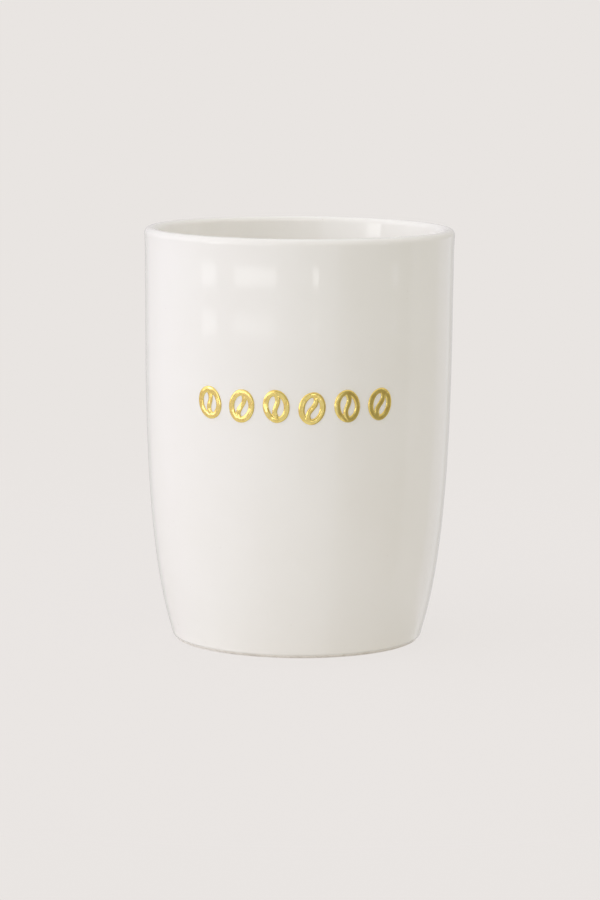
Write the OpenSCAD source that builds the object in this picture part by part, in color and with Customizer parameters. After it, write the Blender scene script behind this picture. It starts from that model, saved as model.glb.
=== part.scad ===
// Porcelain coffee tumbler: a thrown, handleless beaker that narrows to a rounded heel,
// with a clear glaze over everything but its standing ring, and a row of raised gold
// coffee beans on the front.
// Frame: millimetres, Z is the axis the tumbler was thrown on, the origin is the middle of
// the standing ring on the table, and the row of beans faces -Y.

/* [Tumbler] */
// Finished height, glaze included
height = 106.6; // [96:0.2:118]
// Outer diameter at the rim, glaze included
rim_d = 80; // [76:0.5:88]
// Thickness of the rounded lip
lip_t = 3.2; // [2.4:0.1:4]
// Outer diameter of the heel, where the foot rounding meets the wall
heel_d = 66; // [64:0.2:68]
// Height of the heel above the table
heel_z = 3; // [2.4:0.1:4]
// Lean of the wall at the heel, in degrees from the table
heel_lean = 73.6; // [70:0.2:78]
// Length over which the wall keeps the heel's lean
heel_pull = 30.4; // [22:0.2:34]
// Outer diameter that the upper wall is drawn towards
shoulder_d = 78; // [74:0.2:80]
// Height of that shoulder
shoulder_z = 90.5; // [80:0.5:94]

/* [Inside] */
// Inner diameter that the upper wall is drawn towards, under the flared lip
throat_d = 68; // [66:0.2:71]
// Height of that throat
throat_z = 82; // [78:0.5:94]
// Height of the inner floor above the table
floor_z = 6.4; // [5.6:0.1:9]
// Inner diameter where the wall turns into the well
well_d = 64.4; // [60:0.2:64.8]
// Height at which the wall turns into the well
well_z = 15; // [13:0.5:20]
// Diameter of the flat of the inner floor
floor_d = 40; // [30:1:46]
// Length over which the inner wall keeps the well's lean
well_pull = 34; // [24:0.5:36]

/* [Foot] */
// Outer diameter of the standing ring
foot_d = 63.2; // [60:0.2:63.6]
// How far the foot rounding runs along the table, and back along the wall
foot_round = [0.8, 1.2]; // [0.4:0.1:2]
// Inner diameter of the standing ring
foot_hole_d = 56.4; // [50:0.2:58]
// Depth of the recess under the base
recess_depth = 1.6; // [1:0.1:2.4]
// Diameter of the flat of that recess
recess_d = 54; // [44:0.2:55]

/* [Glaze] */
// Thickness of the glaze coat
glaze_t = 0.2; // [0.15:0.05:0.3]
// Height up to which the standing ring is left bare
bare_z = 0.6; // [0.4:0.05:0.8]

/* [Gold beans] */
// Height of one bean
bean_h = 8.4; // [7:0.1:10]
// Width of one bean
bean_w = 6.8; // [6:0.1:7.2]
// Width of the raised line that outlines a bean
line_w = 1.55; // [1.1:0.05:1.7]
// Width of the raised seam across a bean
seam_w = 1.3; // [0.9:0.05:1.5]
// How far the seam swings to each side of the bean's middle
seam_swing = 0.62; // [0.3:0.02:0.9]
// How far a bean stands proud of the glaze
relief = 0.35; // [0.15:0.05:0.45]
// Height of the row's middle above the table
row_z = 65; // [56:0.5:74]
// Angle between two neighbouring beans, round the tumbler
bean_pitch = 13; // [12:0.5:15]
// Angle of the row's middle from the front, positive towards +X
row_angle = -1.5; // [-6:0.5:6]
// Lean of each bean, from left to right
bean_lean = [14, -6, 9, -11, 7, -8]; // [-20:1:20]
// Each bean's height above or below the row's middle
bean_shift = [0.2, -0.15, 0.1, -0.35, 0.1, 0.25]; // [-0.5:0.05:0.5]

/* [Hidden] */

$fn = 96;
rim_r = rim_d / 2;
lip_r = lip_t / 2;
lip_z = height - lip_r;
foot_r = foot_d / 2;
foot_steps = 4;
wall_steps = 18;
well_steps = 7;
chamfer = 0.4;
floor_round = [4.2, 6];
lip_step = 18;
bean_steps = 36;
seam_steps = 12;

// The wall's direction at the heel, and inside at the top of the well
heel_dir = [cos(heel_lean), sin(heel_lean)];
well_lean = heel_lean + 6;
well_dir = [cos(well_lean), sin(well_lean)];
heel = [heel_d / 2, heel_z];
well = [well_d / 2, well_z];

// A point at share t of a cubic Bezier curve, and the whole curve in n steps
function bezier(p, t) =
    p[0] * pow(1 - t, 3) + p[1] * 3 * t * pow(1 - t, 2)
    + p[2] * 3 * t * t * (1 - t) + p[3] * pow(t, 3);
function curve(p, n) = [for (i = [0 : n]) bezier(p, i / n)];

// A list without its first item, and a list back to front
function rest(list) = [for (i = [1 : len(list) - 1]) list[i]];
function reversed(list) = [for (i = [len(list) - 1 : -1 : 0]) list[i]];

// The same path moved by d into the clay, which lies to the left of the path's direction
function heading(p, i) = p[min(i + 1, len(p) - 1)] - p[max(i - 1, 0)];
function inset(p, d) =
    [for (i = [0 : len(p) - 1])
        let (h = heading(p, i)) p[i] + [-h[1], h[0]] * d / norm(h)];

// Finished surfaces, as radius and height.  Outside: foot rounding, wall, lip.
foot_curve = curve([[foot_r, 0], [foot_r + foot_round[0], 0],
                    heel - heel_dir * foot_round[1], heel], foot_steps);
wall_curve = curve([heel, heel + heel_dir * heel_pull,
                    [shoulder_d / 2, shoulder_z], [rim_r, lip_z]], wall_steps);
lip_curve = [for (a = [lip_step : lip_step : 180 - lip_step])
    [rim_r - lip_r + lip_r * cos(a), lip_z + lip_r * sin(a)]];
// Inside: wall down to the well, well, floor out to the axis
inner_curve = curve([[rim_r - lip_t, lip_z], [throat_d / 2, throat_z],
                     well + well_dir * well_pull, well], wall_steps);
well_curve = curve([well, well - well_dir * floor_round[0],
                    [floor_d / 2 + floor_round[1], floor_z], [floor_d / 2, floor_z]], well_steps);

glazed_foot = [for (p = foot_curve) if (p[1] > bare_z) p];
coat_path = concat(glazed_foot, rest(wall_curve), lip_curve, inner_curve,
                   rest(well_curve), [[0, floor_z]]);
base_path = [[0, recess_depth], [recess_d / 2, recess_depth],
             [foot_hole_d / 2 - chamfer, bare_z]];

// The clay's own surfaces lie one glaze thickness under the finished ones
clay_path = inset(coat_path, glaze_t);
clay_base = inset(base_path, glaze_t);

module porcelain_body() {
    color("#f3efe9")
    rotate_extrude()
    polygon(concat(clay_base, [[foot_hole_d / 2 + chamfer, 0], [foot_r, 0]], clay_path));
}

module glaze_coat() {
    color("#fbfaf6")
    rotate_extrude()
    polygon(concat(coat_path, reversed(clay_path)));
}

module base_glaze() {
    color("#f7f6f1")
    rotate_extrude()
    polygon(concat(base_path, reversed(clay_base)));
}

// A layer on the outer wall as thick as the gold stands proud
module relief_layer() {
    rotate_extrude()
    polygon(concat(wall_curve, reversed(inset(wall_curve, -relief))));
}

// An oval of the given width and height
module oval(w, h) {
    polygon([for (i = [0 : bean_steps - 1])
        let (a = 360 * i / bean_steps) [w / 2 * cos(a), h / 2 * sin(a)]]);
}

// The seam: a band that swings from one side of the middle to the other
module seam() {
    reach = bean_h / 2 - line_w / 2;
    middle = [for (i = [-seam_steps : seam_steps])
        let (s = i / seam_steps) [seam_swing * sin(180 * s), reach * s]];
    polygon(concat(inset(middle, seam_w / 2), reversed(inset(middle, -seam_w / 2))));
}

// The outline of one bean, flat, with an opening on each side of the seam
module bean_face() {
    difference() {
        oval(bean_w, bean_h);
        difference() {
            oval(bean_w - 2 * line_w, bean_h - 2 * line_w);
            seam();
        }
    }
}

// One raised bean, counted from the left of the row
module gold_bean(i) {
    angle = row_angle + bean_pitch * (i - (len(bean_lean) - 1) / 2);
    color("#d9b24a")
    intersection() {
        relief_layer();
        rotate([0, 0, angle])
        translate([0, -rim_r + 5, row_z + bean_shift[i]])
        rotate([90, 0, 0])
        rotate([0, 0, bean_lean[i]])
        linear_extrude(height = 10)
        bean_face();
    }
}

porcelain_body();
glaze_coat();
base_glaze();
gold_bean(0);  // gold_bean_1
gold_bean(1);  // gold_bean_2
gold_bean(2);  // gold_bean_3
gold_bean(3);  // gold_bean_4
gold_bean(4);  // gold_bean_5
gold_bean(5);  // gold_bean_6
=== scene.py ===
"""A glazed porcelain coffee tumbler with a row of raised gold coffee beans, built round its
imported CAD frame.  Lengths here are in millimetres; MM turns them into the frame's metres."""
import math

import bpy
from mathutils import Matrix, Vector, noise


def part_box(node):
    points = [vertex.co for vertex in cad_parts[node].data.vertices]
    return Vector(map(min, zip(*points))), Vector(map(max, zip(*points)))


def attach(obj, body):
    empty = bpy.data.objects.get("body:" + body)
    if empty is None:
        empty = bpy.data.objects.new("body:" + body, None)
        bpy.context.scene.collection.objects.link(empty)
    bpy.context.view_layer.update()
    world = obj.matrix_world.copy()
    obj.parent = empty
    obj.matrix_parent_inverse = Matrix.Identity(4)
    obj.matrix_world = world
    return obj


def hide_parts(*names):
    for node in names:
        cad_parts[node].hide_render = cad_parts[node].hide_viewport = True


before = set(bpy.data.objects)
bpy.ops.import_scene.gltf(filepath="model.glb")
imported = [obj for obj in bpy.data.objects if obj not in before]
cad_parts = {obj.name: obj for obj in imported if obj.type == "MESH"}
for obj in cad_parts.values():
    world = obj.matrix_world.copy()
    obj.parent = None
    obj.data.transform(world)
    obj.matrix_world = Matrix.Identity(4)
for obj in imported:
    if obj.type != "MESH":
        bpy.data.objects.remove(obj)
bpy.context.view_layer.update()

MM = 0.001

# ---------------------------------------------------------------- sizes, from the frame
glaze_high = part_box("glaze_coat")[1]
clay_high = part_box("porcelain_body")[1]
base_low, base_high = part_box("base_glaze")

HEIGHT = glaze_high.z / MM
RIM_R = glaze_high.x / MM
GLAZE_T = (glaze_high.x - clay_high.x) / MM
BARE_Z = base_low.z / MM
RECESS_Z = base_high.z / MM - GLAZE_T
HOLE_R = base_high.x / MM

# The tumbler's shape, as shares of its rim radius or its height
LIP_R = 0.04 * RIM_R
HEEL = Vector((0.825 * RIM_R, 0.02814 * HEIGHT))
HEEL_LEAN = math.radians(73.6)
HEEL_PULL = 0.2852 * HEIGHT
SHOULDER = Vector((0.975 * RIM_R, 0.849 * HEIGHT))
THROAT = Vector((0.85 * RIM_R, 0.7692 * HEIGHT))
FOOT_R = 0.79 * RIM_R
FOOT_ROUND = (0.8, 1.2)
WELL = Vector((0.805 * RIM_R, 0.1407 * HEIGHT))
WELL_LEAN = HEEL_LEAN + math.radians(6)
WELL_PULL = 0.319 * HEIGHT
FLOOR_R = 0.5 * RIM_R
FLOOR_Z = 0.06 * HEIGHT
FLOOR_ROUND = (4.2, 6)

# How finely each stretch of the outlines is divided
FOOT_STEPS = 12
WALL_STEPS = 150
LIP_STEPS = 18
INNER_STEPS = 90
WELL_STEPS = 24
FLOOR_STEPS = 16


# ---------------------------------------------------------------- outlines
def bezier(points, steps):
    """Points along a cubic Bezier curve, both ends included."""
    a, b, c, d = (Vector(p) for p in points)
    found = []
    for i in range(steps + 1):
        t = i / steps
        found.append(a * (1 - t) ** 3 + b * 3 * t * (1 - t) ** 2
                     + c * 3 * t * t * (1 - t) + d * t ** 3)
    return found


def leaning(angle):
    """The unit direction that leans at that angle from the table."""
    return Vector((math.cos(angle), math.sin(angle)))


def inset(path, depth):
    """The path moved by depth into the clay, which lies to the left of its direction."""
    moved = []
    for i, point in enumerate(path):
        step = path[min(i + 1, len(path) - 1)] - path[max(i - 1, 0)]
        moved.append(point + Vector((-step.y, step.x)).normalized() * depth)
    return moved


LIP_Z = HEIGHT - LIP_R
foot_curve = bezier([(FOOT_R, 0), (FOOT_R + FOOT_ROUND[0], 0),
                     HEEL - leaning(HEEL_LEAN) * FOOT_ROUND[1], HEEL], FOOT_STEPS)
wall_curve = bezier([HEEL, HEEL + leaning(HEEL_LEAN) * HEEL_PULL, SHOULDER, (RIM_R, LIP_Z)],
                    WALL_STEPS)
lip_curve = [Vector((RIM_R - LIP_R + LIP_R * math.cos(a), LIP_Z + LIP_R * math.sin(a)))
             for a in (math.pi * i / LIP_STEPS for i in range(1, LIP_STEPS))]
inner_curve = bezier([(RIM_R - 2 * LIP_R, LIP_Z), THROAT,
                      WELL + leaning(WELL_LEAN) * WELL_PULL, WELL], INNER_STEPS)
well_curve = bezier([WELL, WELL - leaning(WELL_LEAN) * FLOOR_ROUND[0],
                     (FLOOR_R + FLOOR_ROUND[1], FLOOR_Z), (FLOOR_R, FLOOR_Z)], WELL_STEPS)
floor_line = [Vector((FLOOR_R * (1 - i / FLOOR_STEPS), FLOOR_Z))
              for i in range(1, FLOOR_STEPS + 1)]


def wall_radius(z):
    """The outer radius of the plain wall at height z."""
    low = wall_curve[0]
    for high in wall_curve[1:]:
        if z <= high.y:
            share = (z - low.y) / (high.y - low.y)
            return low.x + (high.x - low.x) * max(share, 0)
        low = high
    return wall_curve[-1].x


# ---------------------------------------------------------------- the potter's marks
# Level throwing rings on the outer wall: height of each crest, its half width, its swell
RINGS = [(94.8, 6.9, 0.051), (80.1, 6.7, 0.017), (67.7, 6.2, 0.020), (55.3, 6.4, 0.018),
         (42.6, 6.3, 0.024), (30.2, 6.0, 0.020), (18.6, 5.2, 0.014)]
# The hand's waver: its depth, how often it turns round the pot and up it, and the height
# below which it dies away.  Inside, the wall follows only a share of it.
WAVER = 0.03
WAVER_ROUND = 1.3
WAVER_RISE = 60
WAVER_FROM = 12
INSIDE_SHARE = 0.6


def ring_swell(z):
    """How far the throwing rings stand out at height z."""
    swell = 0.0
    for crest, half, height in RINGS:
        if abs(z - crest) < half:
            swell += height * 0.5 * (1 + math.cos(math.pi * (z - crest) / half))
    return swell


def surface(radius, z, turn, outer):
    """A thrown surface's point: its rings and the slow waver of a hand-finished pot."""
    swell = ring_swell(z) if outer else 0.0
    where = Vector((math.cos(turn) * WAVER_ROUND, math.sin(turn) * WAVER_ROUND, z / WAVER_RISE))
    waver = WAVER * noise.noise(where) * min(z / WAVER_FROM, 1)
    return radius + (swell + waver) * (1 if outer else INSIDE_SHARE)


# ---------------------------------------------------------------- mesh helpers
def new_mesh(name, verts, faces, material):
    """A smooth-shaded object from points in millimetres."""
    mesh = bpy.data.meshes.new(name)
    mesh.from_pydata([tuple(c * MM for c in v) for v in verts], [], faces)
    mesh.validate()
    mesh.polygons.foreach_set("use_smooth", [True] * len(mesh.polygons))
    mesh.materials.append(material)
    mesh.update()
    obj = bpy.data.objects.new(name, mesh)
    bpy.context.scene.collection.objects.link(obj)
    return obj


def lathe(name, path, segments, material, shaped=None):
    """Turns a closed outline round Z.  shaped(i, r, z, turn) may move a point's radius."""
    verts, faces, rings = [], [], []
    for i, (r, z) in enumerate(path):
        if r < 1e-6:
            rings.append([len(verts)])
            verts.append((0, 0, z))
            continue
        rings.append(range(len(verts), len(verts) + segments))
        for k in range(segments):
            turn = 2 * math.pi * k / segments
            radius = shaped(i, r, z, turn) if shaped else r
            verts.append((radius * math.cos(turn), radius * math.sin(turn), z))
    for a, b in zip(rings, rings[1:] + rings[:1]):
        for k in range(segments):
            n = (k + 1) % segments
            if len(a) > 1 and len(b) > 1:
                faces.append((a[k], a[n], b[n], b[k]))
            elif len(a) > 1:
                faces.append((a[k], a[n], b[0]))
            elif len(b) > 1:
                faces.append((a[0], b[n], b[k]))
    return new_mesh(name, verts, faces, material)


# ---------------------------------------------------------------- materials
class Nodes:
    """A material's node tree, with short calls for what the materials here share."""

    def __init__(self, name):
        self.material = bpy.data.materials.new(name)
        self.material.use_nodes = True
        self.tree = self.material.node_tree
        self.shader = self.tree.nodes["Principled BSDF"]
        self.place = self.add("ShaderNodeTexCoord").outputs["Object"]

    def add(self, kind, inputs=(), **settings):
        node = self.tree.nodes.new(kind)
        for key, value in settings.items():
            setattr(node, key, value)
        for key, value in dict(inputs).items():
            self.give(node.inputs[key], value)
        return node

    def give(self, socket, value):
        if isinstance(value, bpy.types.NodeSocket):
            self.tree.links.new(value, socket)
        else:
            socket.default_value = value

    def noise(self, size_mm, detail=2.0, roughness=0.5):
        """Noise whose lumps are about size_mm across, from 0 to 1."""
        node = self.add("ShaderNodeTexNoise", {"Vector": self.place, "Scale": 1 / (size_mm * MM),
                                               "Detail": detail, "Roughness": roughness})
        return node.outputs["Fac"]

    def ramp(self, value, low, high, to_low=0.0, to_high=1.0):
        """The value's share of the way from low to high, eased, and spread over a range."""
        node = self.add("ShaderNodeMapRange", {"Value": value, "From Min": low, "From Max": high,
                                               "To Min": to_low, "To Max": to_high},
                        interpolation_type="SMOOTHSTEP")
        return node.outputs["Result"]

    def facing_out(self):
        """How far from the axis the surface is, below 0 where it faces the axis."""
        level = self.add("ShaderNodeVectorMath", {0: self.place, 1: (1, 1, 0)},
                         operation="MULTIPLY")
        normal = self.add("ShaderNodeNewGeometry").outputs["Normal"]
        return self.add("ShaderNodeVectorMath", {0: level.outputs[0], 1: normal},
                        operation="DOT_PRODUCT").outputs["Value"]

    def mix(self, share, a, b):
        """Colour a where share is 0 and colour b where it is 1."""
        node = self.add("ShaderNodeMix", data_type="RGBA")
        self.give(node.inputs["Factor"], share)
        self.give(node.inputs["A"], colour(a))
        self.give(node.inputs["B"], colour(b))
        return node.outputs["Result"]

    def bump(self, height, depth_mm, onto=None):
        """A normal from a height between 0 and 1 that stands for depth_mm."""
        inputs = {"Height": height, "Distance": depth_mm * MM, "Strength": 1.0}
        if onto is not None:
            inputs["Normal"] = onto
        return self.add("ShaderNodeBump", inputs).outputs["Normal"]


def colour(value):
    """An RGB triple as the RGBA that a socket takes."""
    return (*value, 1.0) if isinstance(value, tuple) and len(value) == 3 else value


def glaze_material():
    """Clear gloss glaze over warm white porcelain, with painted light: the inside faces are
    painted paler to brighten the inside.
    """
    m = Nodes("clear glaze on white porcelain")
    cloud = m.noise(26, 3)
    tone = m.mix(m.ramp(cloud, 0.35, 0.65), (0.932, 0.922, 0.902), (0.944, 0.936, 0.920))
    # Painted light: faces that look towards the axis, the inside, get a paler tone that stands
    # in for light falling there.
    tone = m.mix(m.ramp(m.facing_out(), -0.006, 0.006, 1.0, 0.0), tone, (0.966, 0.958, 0.942))
    speck = m.noise(0.9, 1)
    tone = m.mix(m.ramp(speck, 0.80, 0.84, 0.0, 0.35), tone, (0.62, 0.56, 0.47))
    m.give(m.shader.inputs["Base Color"], tone)
    m.give(m.shader.inputs["Roughness"], m.ramp(m.noise(14, 2), 0.3, 0.7, 0.03, 0.055))
    m.shader.inputs["IOR"].default_value = 1.5
    peel = m.bump(m.noise(5.0, 2), 0.004)
    m.give(m.shader.inputs["Normal"], m.bump(m.noise(1.1, 1), 0.0005, peel))
    return m.material


def bisque_material():
    """Bare fired porcelain: matt, fine grained, a little rubbed where it stands."""
    m = Nodes("bare porcelain")
    grain = m.noise(0.35, 3, 0.6)
    tone = m.mix(m.ramp(grain, 0.3, 0.7), (0.87, 0.85, 0.81), (0.92, 0.905, 0.88))
    rub = m.ramp(m.noise(2.4, 2), 0.52, 0.66, 0.0, 0.5)
    tone = m.mix(rub, tone, (0.74, 0.71, 0.66))
    m.give(m.shader.inputs["Base Color"], tone)
    m.give(m.shader.inputs["Roughness"], m.ramp(grain, 0.3, 0.7, 0.62, 0.85))
    m.give(m.shader.inputs["Normal"], m.bump(grain, 0.03))
    return m.material


def gold_material():
    """Fired gold lustre: bright metal, thinner and browner in patches."""
    m = Nodes("gold lustre")
    film = m.noise(1.3, 3, 0.6)
    tone = m.mix(m.ramp(film, 0.40, 0.68), (0.95, 0.76, 0.27), (0.88, 0.65, 0.20))
    m.give(m.shader.inputs["Base Color"], tone)
    m.shader.inputs["Metallic"].default_value = 1.0
    m.give(m.shader.inputs["Roughness"], m.ramp(m.noise(0.8, 2), 0.3, 0.7, 0.10, 0.20))
    m.give(m.shader.inputs["Normal"], m.bump(m.noise(1.6, 2), 0.025))
    return m.material


GLAZE = glaze_material()
BISQUE = bisque_material()
GOLD = gold_material()

# ---------------------------------------------------------------- the tumbler
# Segments round the axis: in the coat that is seen, and in what lies under it
SEGMENTS = 288
SKIN_SEGMENTS = 144
# The recess's edge and the foot ring's inner edge: distance from the recess's radius, height
RECESS_EDGE = [(-1.6, RECESS_Z), (-0.9, RECESS_Z - 0.16), (-0.45, BARE_Z + 0.4), (-0.3, BARE_Z)]
RING_EDGE = [(0.2, 0.12), (0.45, 0)]

glazed_foot = [p for p in foot_curve if p.y > BARE_Z]
outside = glazed_foot + wall_curve[1:] + lip_curve[:LIP_STEPS // 2]
inside = lip_curve[LIP_STEPS // 2:] + inner_curve + well_curve[1:] + floor_line
coat = outside + inside
base_path = [Vector((0, RECESS_Z)), Vector((HOLE_R * 0.5, RECESS_Z))]
base_path += [Vector((HOLE_R + off, z)) for off, z in RECESS_EDGE]
clay_path = inset(coat, GLAZE_T)
clay_base = inset(base_path, GLAZE_T)


def coat_shape(i, r, z, turn):
    """The glaze's outer face wavers and swells; its inner face follows it."""
    step = i if i < len(coat) else 2 * len(coat) - 1 - i
    return surface(r, z, turn, step < len(outside)) if r > FLOOR_R else r


def clay_shape(i, r, z, turn):
    """The clay's faces under the coat move with it; the foot stays true."""
    step = i - len(clay_base) - len(foot_ring)
    if step < 0 or r <= FLOOR_R:
        return r
    return surface(r, z, turn, step < len(outside))


foot_ring = [Vector((HOLE_R + off, z)) for off, z in RING_EDGE] + [Vector((FOOT_R, 0))]
glaze = lathe("glaze", coat + clay_path[::-1], SEGMENTS, GLAZE, coat_shape)
body = lathe("body", clay_base + foot_ring + clay_path, SKIN_SEGMENTS, BISQUE, clay_shape)
recess = lathe("recess_glaze", base_path + clay_base[::-1], SKIN_SEGMENTS, GLAZE)

for piece, node, slot in ((glaze, "glaze_coat", "glaze"), (body, "porcelain_body", "bisque"),
                          (recess, "base_glaze", "glaze")):
    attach(piece, "root")
    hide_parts(node)

# ---------------------------------------------------------------- the gold beans
# Each bean's lean in degrees, from left to right, then a bean's size and its lines' widths
BEAN_LEAN = [14, -6, 9, -11, 7, -8]
BEAN_W, BEAN_H = 6.8, 8.4
LINE_W, SEAM_W = 1.55, 1.3
SEAM_SWING = 0.62
# How far the lines stand out of the glaze and are sunk in it
RELIEF = 0.34
SUNK = 0.12
# A hand-laid line's changes of width and of height, as shares of them
UNEVEN_WIDTH = 0.16
UNEVEN_HEIGHT = 0.3
OVAL_STEPS = 72
SEAM_STEPS = 30
LINE_SIDES = 18
VOXEL = 0.08


def brush_line(centres, widths, heights, closed):
    """A raised brush line, flat topped with round shoulders, as points and faces in mm."""
    verts, faces = [], []
    count = len(centres)
    for i, centre in enumerate(centres):
        before = centres[(i - 1) % count] if closed or i else centre
        after = centres[(i + 1) % count] if closed or i < count - 1 else centre
        along = (after - before).normalized()
        side = Vector((-along.y, along.x))
        for k in range(LINE_SIDES):
            a = 2 * math.pi * k / LINE_SIDES
            across = side * (math.cos(a) * widths[i] / 2)
            top = heights[i] * math.sqrt(1 - math.cos(a) ** 4)
            up = top if math.sin(a) > 0 else math.sin(a) * SUNK
            verts.append((centre.x + across.x, centre.y + across.y, up))
    for i in range(count if closed else count - 1):
        here, there = i * LINE_SIDES, (i + 1) % count * LINE_SIDES
        for k in range(LINE_SIDES):
            n = (k + 1) % LINE_SIDES
            faces.append((here + k, here + n, there + n, there + k))
    if not closed:
        faces.append(tuple(range(LINE_SIDES))[::-1])
        faces.append(tuple(range((count - 1) * LINE_SIDES, count * LINE_SIDES)))
    return verts, faces


def bean_lines(seed):
    """The bean's oval and its seam, with the unevenness of a hand-laid line."""
    def width(full, t):
        return full * (1 + UNEVEN_WIDTH * noise.noise(Vector((t, seed * 3.7, 0.16))))

    def height(share, x, y, salt):
        return RELIEF * (share + UNEVEN_HEIGHT * noise.noise(Vector((x, y * 0.45, seed * salt))))

    reach = (BEAN_H - LINE_W) / 2
    oval = [Vector(((BEAN_W - LINE_W) / 2 * math.cos(a), reach * math.sin(a)))
            for a in (2 * math.pi * i / OVAL_STEPS for i in range(OVAL_STEPS))]
    seam = [Vector((SEAM_SWING * math.sin(math.pi * s), reach * s))
            for s in (i / SEAM_STEPS * 2 - 1 for i in range(SEAM_STEPS + 1))]
    oval_widths = [width(LINE_W, p.x * 0.5) for p in oval]
    seam_widths = [width(SEAM_W, p.y * 0.6 + 9) for p in seam]
    oval_heights = [height(1, p.x * 0.45, p.y, 5.1) for p in oval]
    seam_heights = [height(0.95, p.x, p.y, 7.3) for p in seam]
    return (oval, oval_widths, oval_heights), (seam, seam_widths, seam_heights)


def fused(verts, faces, name):
    """One closed skin round overlapping solids: a voxel remesh, then a light smoothing."""
    mesh = bpy.data.meshes.new(name)
    mesh.from_pydata(verts, [], faces)
    rough = bpy.data.objects.new(name, mesh)
    bpy.context.scene.collection.objects.link(rough)
    remesh = rough.modifiers.new("fuse", "REMESH")
    remesh.mode = "VOXEL"
    remesh.voxel_size = VOXEL
    smooth = rough.modifiers.new("soften", "SMOOTH")
    smooth.factor = 0.5
    smooth.iterations = 9
    found = rough.evaluated_get(bpy.context.evaluated_depsgraph_get()).to_mesh()
    points = [v.co.copy() for v in found.vertices]
    polygons = [tuple(p.vertices) for p in found.polygons]
    bpy.data.objects.remove(rough)
    return points, polygons


def gold_bean(i, node):
    """One raised bean, laid on the wall where its CAD node stands."""
    low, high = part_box(node)
    centre = (low + high) / 2
    facing = math.atan2(centre.x, -centre.y)
    lean = math.radians(BEAN_LEAN[i])
    verts, faces = [], []
    oval, seam = bean_lines(i + 1)
    for line, closed in ((oval, True), (seam, False)):
        more, more_faces = brush_line(*line, closed)
        faces += [tuple(v + len(verts) for v in f) for f in more_faces]
        verts += more
    points, polygons = fused(verts, faces, "rough")
    laid = []
    for p in points:
        x = p.x * math.cos(lean) - p.y * math.sin(lean)
        z = p.x * math.sin(lean) + p.y * math.cos(lean) + centre.z / MM
        plain = wall_radius(z)
        turn = facing + x / plain
        radius = surface(plain, z, turn - math.pi / 2, True) + p.z
        laid.append((radius * math.sin(turn), -radius * math.cos(turn), z))
    bean = new_mesh("raised_" + node, laid, polygons, GOLD)
    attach(bean, "root")
    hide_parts(node)


for i in range(len(BEAN_LEAN)):
    gold_bean(i, f"gold_bean_{i + 1}")

# ---------------------------------------------------------------- stage
# Metres from the origin: the floor's edges, where it fades, and where the glow by the foot does
FLOOR_REACH = 0.8
FLOOR_FADE = (0.12, 0.42)
FOOT_GLOW_FADE = (0.035, 0.050)
# The floor's own glow: what the camera sees of it, and what falls on the foot
FLOOR_GLOW = 0.714
FOOT_GLOW = 0.10


def stage_floor():
    """A plain pale floor that fades into the backdrop.  Most of the tone seen is its own, so
    that the tumbler's shadow on it stays soft, and it glows a little on the foot."""
    mesh = bpy.data.meshes.new("floor")
    r = FLOOR_REACH
    mesh.from_pydata([(-r, -r, 0), (r, -r, 0), (r, r, 0), (-r, r, 0)], [], [(0, 1, 2, 3)])
    floor = bpy.data.objects.new("floor", mesh)
    bpy.context.scene.collection.objects.link(floor)
    m = Nodes("pale floor")
    seen = m.add("ShaderNodeLightPath").outputs["Is Camera Ray"]
    m.give(m.shader.inputs["Base Color"], m.mix(seen, (0.80, 0.78, 0.76), (0.12, 0.115, 0.112)))
    m.shader.inputs["Roughness"].default_value = 1.0
    m.shader.inputs["Specular IOR Level"].default_value = 0.0
    m.shader.inputs["Emission Color"].default_value = (1.000, 0.964, 0.941, 1)
    distance = m.add("ShaderNodeVectorMath", {0: m.place}, operation="LENGTH").outputs["Value"]
    near = m.ramp(distance, *FOOT_GLOW_FADE, FOOT_GLOW, 0.0)
    glow = m.add("ShaderNodeMix", {"Factor": seen, "A": near, "B": FLOOR_GLOW})
    m.give(m.shader.inputs["Emission Strength"], glow.outputs["Result"])
    m.give(m.shader.inputs["Alpha"], m.ramp(distance, *FLOOR_FADE, 1.0, 0.0))
    mesh.materials.append(m.material)
    floor.visible_glossy = False


stage_floor()

# ---------------------------------------------------------------- light
# What the camera sees behind the tumbler
BACKDROP = (0.815, 0.783, 0.76)
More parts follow.
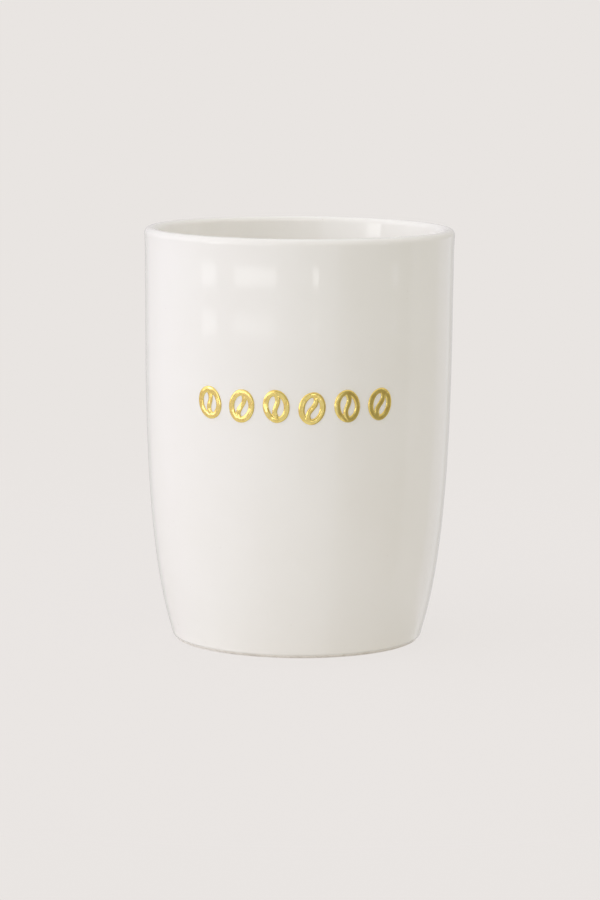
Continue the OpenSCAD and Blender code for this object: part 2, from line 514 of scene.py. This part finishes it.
# The room round the tumbler, by direction: azimuth in degrees from the front, positive
# towards +X, and elevation.  Each patch is (azimuths, elevations, soft edge, colour), and
# lies over the ones before it.
ROOM = (0.95, 0.92, 0.90)
PATCHES = [
    ((-180, 180), (60, 90), 24, (0.87, 0.86, 0.87)),
    ((-180, -30), (30, 60), 16, (1.14, 1.11, 1.17)),
    ((-30, 100), (30, 60), 16, (0.89, 0.84, 0.75)),
    ((-180, 180), (-90, 2), 3, (0.56, 0.55, 0.53)),
    ((0, 180), (-90, 2), 3, (0.64, 0.63, 0.63)),
    ((-153, 153), (-90, 0), 3, (0.72, 0.72, 0.72)),
    ((-153, 153), (-90, -24), 10, (0.81, 0.82, 0.83)),
    ((-153, -25), (-24, 0), 4, (0.74, 0.69, 0.72)),
    ((30, 92), (-24, 0), 8, (0.35, 0.33, 0.25)),
    ((92, 153), (-24, 0), 8, (0.74, 0.73, 0.71)),
    ((30, 153), (-90, -24), 10, (0.43, 0.43, 0.39)),
    ((-150, -98), (2, 30), 12, (1.04, 1.02, 1.01)),
    ((-98, -52), (2, 30), 6, (1.76, 1.75, 1.79)),
    ((-52, -17), (2, 26), 3, (1.12, 1.13, 1.16)),
    ((-17, 55), (2, 26), 3, (0.42, 0.41, 0.31)),
    ((55, 92), (2, 30), 8, (0.46, 0.43, 0.33)),
    ((92, 126), (2, 30), 8, (0.82, 0.81, 0.78)),
    ((126, 153), (-20, 1), 3, (0.89, 0.88, 0.92)),
    ((-153, -126), (-20, 1), 3, (0.67, 0.64, 0.62)),
    ((126, 180), (1, 50), 3, (0.64, 0.62, 0.61)),
    ((-180, -126), (1, 50), 3, (0.66, 0.63, 0.63)),
    ((-98, -70.4), (2, 14), 1, (0.97, 0.97, 0.98)),
    ((-70.4, -57.6), (-3, 12), 0.4, (3.67, 3.67, 3.71)),
    ((-76.8, -64.1), (-6.42, -3), 0.4, (2.00, 2.00, 2.07)),
    ((-49.1, -17.0), (-6.31, 2), 0.4, (2.18, 2.18, 2.21)),
    ((10.0, 14.4), (-6.17, 2), 0.4, (3.20, 3.20, 3.22)),
    ((72.5, 78.1), (-6.29, -3), 0.4, (1.09, 1.09, 1.10)),
    ((64, 69), (-3, 30), 0.4, (0.99, 0.99, 1.00)),
]


def world_light():
    """Paints the patches over the room's plain tone."""
    world = bpy.data.worlds.new("studio")
    bpy.context.scene.world = world
    world.use_nodes = True
    tree = world.node_tree
    tree.nodes.clear()

    def add(kind, **settings):
        node = tree.nodes.new(kind)
        for key, value in settings.items():
            setattr(node, key, value)
        return node

    def maths(operation, a, b=0.0):
        node = add("ShaderNodeMath", operation=operation)
        for socket, value in zip(node.inputs, (a, b)):
            if isinstance(value, bpy.types.NodeSocket):
                tree.links.new(value, socket)
            else:
                socket.default_value = value
        return node.outputs[0]

    def between(value, low, high, soft):
        """1 where value is between low and high, falling to 0 over soft on each side."""
        half = soft / 2
        sides = []
        for outer, inner in ((low - half, low + half), (high + half, high - half)):
            node = add("ShaderNodeMapRange", interpolation_type="SMOOTHSTEP")
            tree.links.new(value, node.inputs["Value"])
            node.inputs["From Min"].default_value = outer
            node.inputs["From Max"].default_value = inner
            sides.append(node.outputs[0])
        return maths("MULTIPLY", *sides)

    split = add("ShaderNodeSeparateXYZ")
    tree.links.new(add("ShaderNodeTexCoord").outputs["Generated"], split.inputs[0])
    x, y, z = split.outputs
    azimuth = maths("DEGREES", maths("ARCTAN2", x, maths("MULTIPLY", y, -1.0)))
    elevation = maths("DEGREES", maths("ARCSINE", z))
    tone = (*ROOM, 1.0)
    for (left, right), (low, high), soft, radiance in PATCHES:
        across = 1.0 if right - left == 360 else between(azimuth, left, right, soft)
        up = between(elevation, low, high, soft)
        share = maths("MULTIPLY", up, across)
        mix = add("ShaderNodeMix", data_type="RGBA", clamp_factor=True)
        tree.links.new(share, mix.inputs["Factor"])
        if isinstance(tone, tuple):
            mix.inputs["A"].default_value = tone
        else:
            tree.links.new(tone, mix.inputs["A"])
        mix.inputs["B"].default_value = (*radiance, 1.0)
        tone = mix.outputs["Result"]
    light = add("ShaderNodeBackground")
    tree.links.new(tone, light.inputs["Color"])
    backdrop = add("ShaderNodeBackground")
    backdrop.inputs["Color"].default_value = (*BACKDROP, 1)
    seen = add("ShaderNodeMixShader")
    tree.links.new(add("ShaderNodeLightPath").outputs["Is Camera Ray"], seen.inputs[0])
    tree.links.new(light.outputs[0], seen.inputs[1])
    tree.links.new(backdrop.outputs[0], seen.inputs[2])
    tree.links.new(seen.outputs[0], add("ShaderNodeOutputWorld").inputs[0])


world_light()

# ---------------------------------------------------------------- camera
# Where it stands, in metres; its turns down, to the right and about its view, in radians
CAMERA_AT = (0.0, -0.8911, 0.17629)
CAMERA_DOWN = 0.1423
CAMERA_RIGHT = 0.0006
CAMERA_ROLL = 0.0080
LENS = 138.56

camera_data = bpy.data.cameras.new("camera")
camera_data.lens = LENS
camera_data.sensor_width = 36
camera = bpy.data.objects.new("camera", camera_data)
bpy.context.scene.collection.objects.link(camera)
camera.matrix_world = (Matrix.Translation(CAMERA_AT) @ Matrix.Rotation(-CAMERA_RIGHT, 4, "Z")
                       @ Matrix.Rotation(math.pi / 2 - CAMERA_DOWN, 4, "X")
                       @ Matrix.Rotation(CAMERA_ROLL, 4, "Z"))
bpy.context.scene.camera = camera
bpy.context.scene.view_settings.view_transform = "Standard"
bpy.context.scene.cycles.diffuse_bounces = 12
